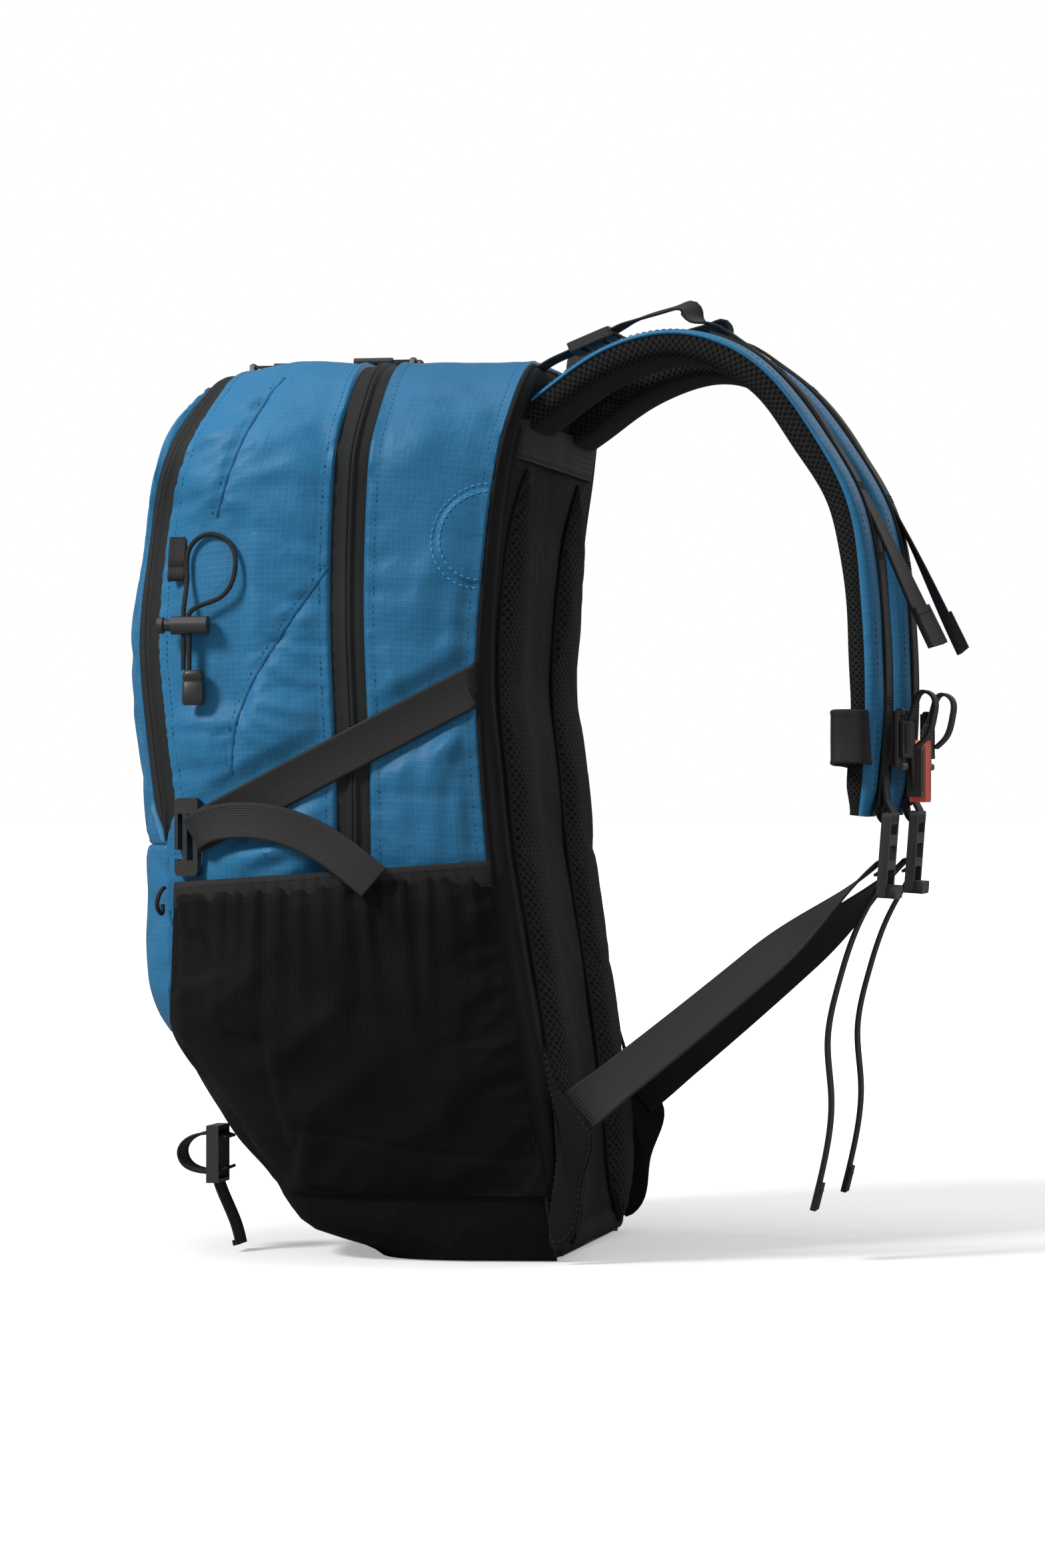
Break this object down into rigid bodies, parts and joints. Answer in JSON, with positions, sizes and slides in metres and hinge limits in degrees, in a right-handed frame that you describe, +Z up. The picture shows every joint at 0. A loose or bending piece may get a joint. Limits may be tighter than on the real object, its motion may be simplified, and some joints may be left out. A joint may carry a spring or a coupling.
{
  "type": "hiking daypack",
  "caption": "Clamshell hiking daypack with padded shoulder straps, mesh back panel, side pockets and compression straps, opening through a top zip.",
  "frame": {"origin": "on the flat bottom face, at its middle", "axes": "+Z up, +Y towards the wearer's back, +X the wearer's right"},
  "size_m": [0.2988, 0.4496, 0.5124],
  "materials": {
    "blue_ripstop": "coated ripstop weave, slight sheen",
    "black_fabric": "plain black pack cloth, matte",
    "black_stretch": "black stretch weave, matte",
    "black_mesh": "open spacer mesh",
    "black_webbing": "woven webbing, matte",
    "zip_tape": "coated zip tape with covered coil",
    "foam": "closed-cell foam",
    "frame_plastic": "flat sheet",
    "black_plastic": "moulded acetal, fine grain",
    "orange_plastic": "moulded acetal, fine grain",
    "cord": "braided elastic cord",
    "zinc": "plated zinc casting",
    "puller": "cord pull with moulded grip",
    "spring_steel": "bright wire"
  },
  "bodies": {
    "pack": {"rear_shell": "blue_ripstop", "base_panel": "black_fabric", "lower_front_panel": "blue_ripstop", "main_zip_rear": "zip_tape", "back_edge_strip": "black_fabric", "frame_sheet": "frame_plastic", "back_foam": "foam", "back_fabric": "black_fabric", "back_pads": "black_mesh", "yoke_band": "black_webbing", "wing_panels": "black_fabric", "hydration_sleeve": "black_fabric", "hydration_port_patch": "blue_ripstop", "side_pockets": "black_stretch", "compression_straps_rear": "black_webbing", "lower_webbings": "black_webbing"},
    "cover": {"front_shell": "blue_ripstop", "front_zip_inner": "zip_tape", "main_zip_front": "zip_tape", "front_divider": "black_fabric", "compression_straps_front": "black_webbing", "hook_loops": "cord", "elastic_cord": "cord", "cord_ends": "black_plastic"},
    "front_flap": {"front_pocket_panel": "blue_ripstop", "front_zip_outer": "zip_tape"},
    "front_slider": {"front_slider": "zinc"},
    "front_puller": {"front_puller": "puller"},
    "main_slider_left": {"main_slider_left": "zinc"},
    "main_puller_left": {"main_puller_left": "puller"},
    "main_slider_right": {"main_slider_right": "zinc"},
    "main_puller_right": {"main_puller_right": "puller"},
    "hook_left": {"hook_left": "black_plastic"},
    "hook_right": {"hook_right": "black_plastic"},
    "cord_lock": {"cord_lock_body": "black_plastic", "cord_lock_spring": "spring_steel"},
    "cord_lock_plunger": {"cord_lock_plunger": "black_plastic"},
    "strap_left": {"strap_pad_left": "black_mesh", "strap_face_left": "blue_ripstop", "strap_rail_left": "black_webbing", "adjuster_tail_left": "black_webbing", "lifter_webbing_left": "black_webbing"},
    "strap_right": {"strap_pad_right": "black_mesh", "strap_face_right": "blue_ripstop", "strap_rail_right": "black_webbing", "adjuster_tail_right": "black_webbing", "lifter_webbing_right": "black_webbing"},
    "ladder_lock_left": {"ladder_lock_left": "black_plastic"},
    "ladder_lock_right": {"ladder_lock_right": "black_plastic"},
    "lifter_buckle_left": {"lifter_buckle_left": "black_plastic"},
    "lifter_buckle_right": {"lifter_buckle_right": "black_plastic"},
    "sternum_left": {"keeper_loop_left": "black_webbing", "sternum_webbing_left": "black_webbing", "buckle_socket": "orange_plastic"},
    "sternum_right": {"keeper_loop_right": "black_webbing"},
    "sternum_plug": {"buckle_plug": "black_plastic", "sternum_webbing_right": "black_webbing"},
    "haul_loop": {"haul_loop": "black_webbing"},
    "axe_loop": {"axe_loop": "black_webbing", "axe_loop_slide": "black_plastic"}
  },
  "joints": [
    {"name": "cover_fold", "type": "hinge", "parent": "pack", "child": "cover", "pos_m": [0, -0.18882, 0.205], "axis": [1, 0, 0], "range_deg": [0, 45]},
    {"name": "front_flap_fold", "type": "hinge", "parent": "cover", "child": "front_flap", "pos_m": [0, -0.18974, 0.232], "axis": [1, 0, 0], "range_deg": [0, 25]},
    {"name": "front_slider_run", "type": "slide", "parent": "front_flap", "child": "front_slider", "axis": [1, 0, 0], "range_m": [-0.035, 0.035]},
    {"name": "front_puller_flip", "type": "hinge", "parent": "front_slider", "child": "front_puller", "pos_m": [0, -0.14461, 0.492], "axis": [1, 0, 0], "range_deg": [0, 150]},
    {"name": "main_slider_left_run", "type": "slide", "parent": "cover", "child": "main_slider_left", "axis": [-1, 0, 0], "range_m": [0, 0.05]},
    {"name": "main_puller_left_flip", "type": "hinge", "parent": "main_slider_left", "child": "main_puller_left", "pos_m": [-0.008, -0.05046, 0.4934], "axis": [-1, 0, 0], "range_deg": [0, 150]},
    {"name": "main_slider_right_run", "type": "slide", "parent": "cover", "child": "main_slider_right", "axis": [1, 0, 0], "range_m": [0, 0.05]},
    {"name": "main_puller_right_flip", "type": "hinge", "parent": "main_slider_right", "child": "main_puller_right", "pos_m": [0.008, -0.05046, 0.4934], "axis": [-1, 0, 0], "range_deg": [0, 150]},
    {"name": "hook_left_swing", "type": "hinge", "parent": "cover", "child": "hook_left", "pos_m": [-0.1342, -0.1409, 0.2285], "axis": [0, 0, -1], "range_deg": [0, 40]},
    {"name": "hook_right_swing", "type": "hinge", "parent": "cover", "child": "hook_right", "pos_m": [0.1342, -0.1409, 0.2285], "axis": [0, 0, 1], "range_deg": [0, 40]},
    {"name": "cord_lock_slide", "type": "slide", "parent": "cover", "child": "cord_lock", "axis": [0, 0, -1], "range_m": [0, 0.015]},
    {"name": "cord_lock_press", "type": "slide", "parent": "cord_lock", "child": "cord_lock_plunger", "axis": [0, 1, 0], "range_m": [0, 0.003]},
    {"name": "strap_left_swing", "type": "hinge", "parent": "pack", "child": "strap_left", "pos_m": [-0.061, 0.042, 0.463], "axis": [1, 0, 0], "range_deg": [0, 15]},
    {"name": "strap_right_swing", "type": "hinge", "parent": "pack", "child": "strap_right", "pos_m": [0.061, 0.042, 0.463], "axis": [1, 0, 0], "range_deg": [0, 15]},
    {"name": "ladder_lock_left_lift", "type": "hinge", "parent": "strap_left", "child": "ladder_lock_left", "pos_m": [-0.061, 0.224, 0.239], "axis": [1, 0, 0], "range_deg": [0, 25]},
    {"name": "ladder_lock_right_lift", "type": "hinge", "parent": "strap_right", "child": "ladder_lock_right", "pos_m": [0.061, 0.224, 0.239], "axis": [1, 0, 0], "range_deg": [0, 25]},
    {"name": "lifter_buckle_left_lift", "type": "hinge", "parent": "strap_left", "child": "lifter_buckle_left", "pos_m": [-0.061, 0.073, 0.502], "axis": [-1, 0, 0], "range_deg": [0, 25]},
    {"name": "lifter_buckle_right_lift", "type": "hinge", "parent": "strap_right", "child": "lifter_buckle_right", "pos_m": [0.061, 0.073, 0.502], "axis": [-1, 0, 0], "range_deg": [0, 25]},
    {"name": "sternum_left_slide", "type": "slide", "parent": "strap_left", "child": "sternum_left", "axis": [0, 0, 1], "range_m": [-0.015, 0.02]},
    {"name": "sternum_right_slide", "type": "slide", "parent": "strap_right", "child": "sternum_right", "axis": [0, 0, 1], "range_m": [-0.015, 0.02]},
    {"name": "buckle_release", "type": "slide", "parent": "sternum_right", "child": "sternum_plug", "axis": [1, 0, 0], "range_m": [0, 0.022]},
    {"name": "haul_loop_flip", "type": "hinge", "parent": "pack", "child": "haul_loop", "pos_m": [0, 0.0375, 0.474], "axis": [-1, 0, 0], "range_deg": [0, 90]},
    {"name": "axe_loop_swing", "type": "hinge", "parent": "pack", "child": "axe_loop", "pos_m": [0.06, -0.141, 0.06], "axis": [-1, 0, 0], "range_deg": [0, 25]}
  ],
  "couplings": [
    {"joint": "strap_right_swing", "follows": "strap_left_swing", "ratio": 1},
    {"joint": "sternum_right_slide", "follows": "sternum_left_slide", "ratio": 1}
  ]
}
